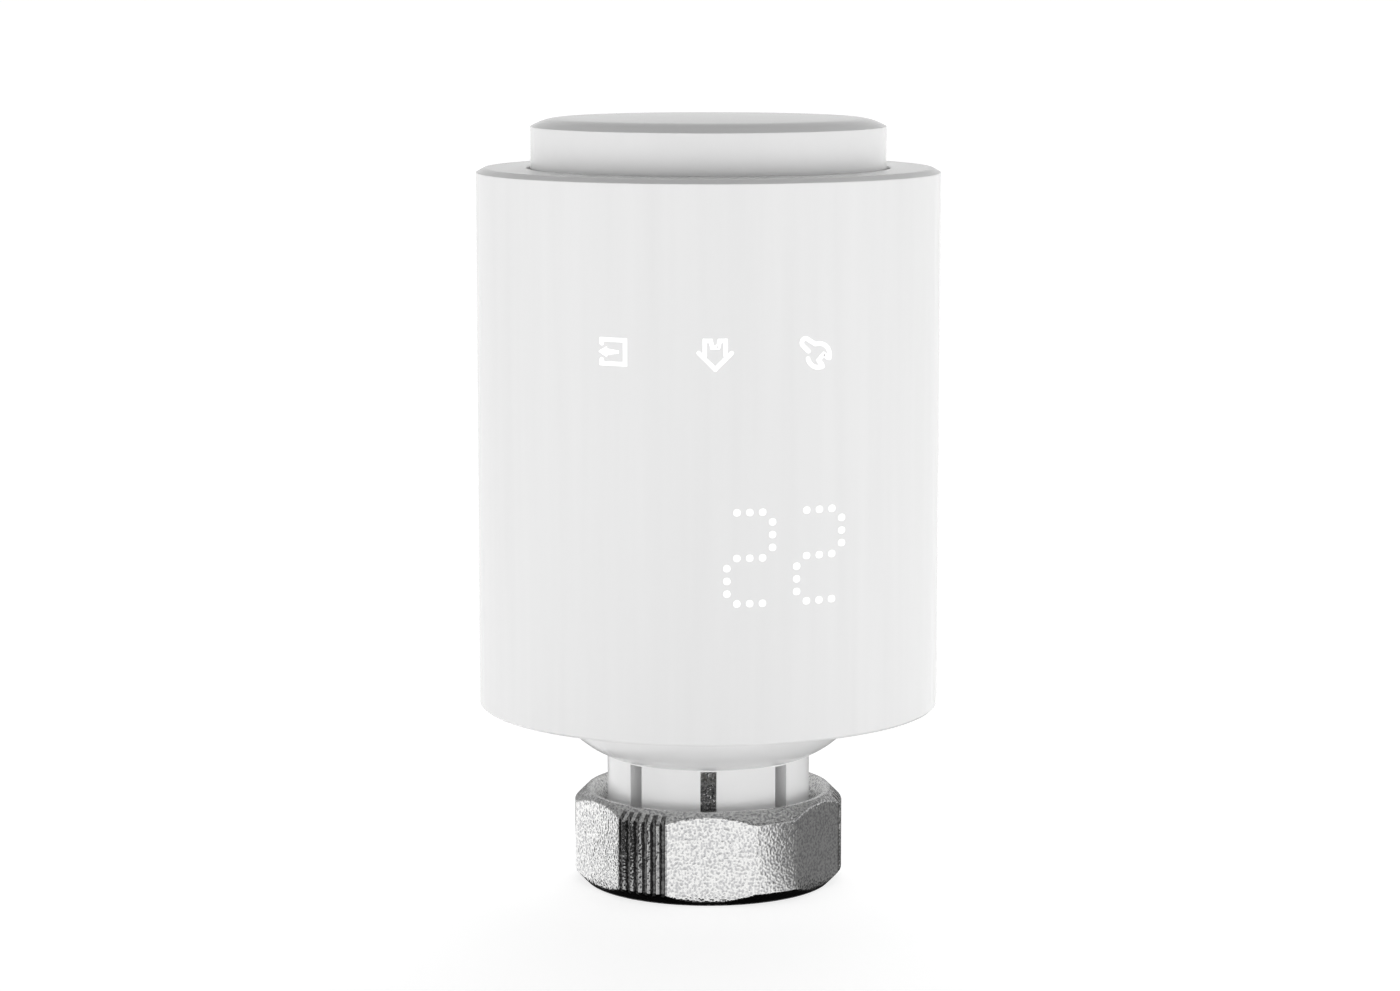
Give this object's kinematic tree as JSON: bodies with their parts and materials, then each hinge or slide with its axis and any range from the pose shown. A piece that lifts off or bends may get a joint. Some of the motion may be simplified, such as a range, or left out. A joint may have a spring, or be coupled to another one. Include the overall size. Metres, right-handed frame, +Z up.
{
  "type": "radiator valve thermostat head",
  "caption": "Upright white cylinder with a turn-and-press knob on top, a dot display behind its sleeve, and a slotted snap neck with a metal union nut that screws onto a radiator valve.",
  "frame": {"origin": "centre of the union nut's lower face, on the object's axis", "axes": "+Z up along the axis to the knob, -Y out of the display"},
  "size_m": [0.058, 0.058, 0.0971],
  "materials": {
    "white_shell": "fine matt moulding",
    "grey_moulding": "plain moulding",
    "nickel_plate": "nickel plated, blasted",
    "steel": "bright steel",
    "zinc_screw": "zinc plated",
    "contact_plate": "nickel plated spring steel",
    "gear_white": "acetal",
    "brass_part": "turned brass",
    "tip_steel": "hardened steel",
    "board_green": "solder mask",
    "black_plastic": "plain moulding",
    "button_plastic": "plain moulding",
    "led_resin": "clear resin",
    "film": "diffusing film",
    "radio_shield": "tinned shield",
    "cell_wrap": "printed wrap",
    "magnet": "bonded ferrite",
    "lead_wire": "wire cover"
  },
  "bodies": {
    "base": {"mounting_base": "white_shell", "chassis": "grey_moulding", "gearbox_cover": "grey_moulding", "gear_axles": "steel", "thrust_washer": "steel", "motor_can": "steel", "board_screws": "zinc_screw", "mask_screws": "zinc_screw", "gearbox_screws": "zinc_screw", "base_screws": "zinc_screw", "battery_bridge": "contact_plate", "battery_terminals": "contact_plate", "main_board": "board_green", "display_board": "board_green", "light_mask": "black_plastic", "push_switch": "black_plastic", "board_parts": "black_plastic", "hall_sensors": "black_plastic", "board_header": "black_plastic", "motor_end_cap": "black_plastic", "display_leds": "led_resin", "diffuser_film": "film", "radio_module": "radio_shield", "battery_left": "cell_wrap", "battery_right": "cell_wrap", "motor_leads": "lead_wire"},
    "sleeve": {"outer_sleeve": "white_shell"},
    "knob_carrier": {"knob_carrier": "grey_moulding", "switch_button": "button_plastic"},
    "knob": {"knob": "white_shell", "magnet_ring": "magnet"},
    "union_nut": {"union_nut": "nickel_plate"},
    "drive_gear": {"drive_gear": "gear_white"},
    "second_gear": {"second_gear": "gear_white"},
    "first_gear": {"first_gear": "gear_white"},
    "motor_rotor": {"motor_pinion": "brass_part", "motor_shaft": "steel"},
    "plunger": {"plunger": "brass_part", "plunger_cap": "tip_steel"}
  },
  "joints": [
    {"name": "sleeve_lift", "type": "slide", "parent": "base", "child": "sleeve", "axis": [0, 0, 1], "range_m": [0, 0.07]},
    {"name": "knob_press", "type": "slide", "parent": "base", "child": "knob_carrier", "axis": [0, 0, -1], "range_m": [0, 0.0008], "stiffness_N_per_m": 1500, "springref_m": -0.001},
    {"name": "knob_turn", "type": "hinge", "parent": "knob_carrier", "child": "knob", "pos_m": [0, 0, 0], "axis": [0, 0, 1], "continuous": true},
    {"name": "nut_turn", "type": "hinge", "parent": "base", "child": "union_nut", "pos_m": [0, 0, 0], "axis": [0, 0, 1], "continuous": true},
    {"name": "drive_turn", "type": "hinge", "parent": "base", "child": "drive_gear", "pos_m": [0, 0, 0], "axis": [0, 0, 1], "range_deg": [0, 1080]},
    {"name": "second_turn", "type": "hinge", "parent": "base", "child": "second_gear", "pos_m": [-0.01034, -0.00868, 0], "axis": [0, 0, 1], "range_deg": [-4752, 0]},
    {"name": "first_turn", "type": "hinge", "parent": "base", "child": "first_gear", "pos_m": [-0.00188, -0.01299, 0], "axis": [0, 0, 1], "range_deg": [0, 13305.6]},
    {"name": "motor_turn", "type": "hinge", "parent": "base", "child": "motor_rotor", "pos_m": [0.00518, -0.00663, 0], "axis": [0, 0, 1], "range_deg": [-37255.68, 0]},
    {"name": "plunger_travel", "type": "slide", "parent": "base", "child": "plunger", "axis": [0, 0, -1], "range_m": [0, 0.0045]}
  ],
  "couplings": [
    {"joint": "drive_turn", "follows": "plunger_travel", "rad_per_m": 4188.8},
    {"joint": "second_turn", "follows": "plunger_travel", "rad_per_m": -18431},
    {"joint": "first_turn", "follows": "plunger_travel", "rad_per_m": 51606},
    {"joint": "motor_turn", "follows": "plunger_travel", "rad_per_m": -144500}
  ]
}
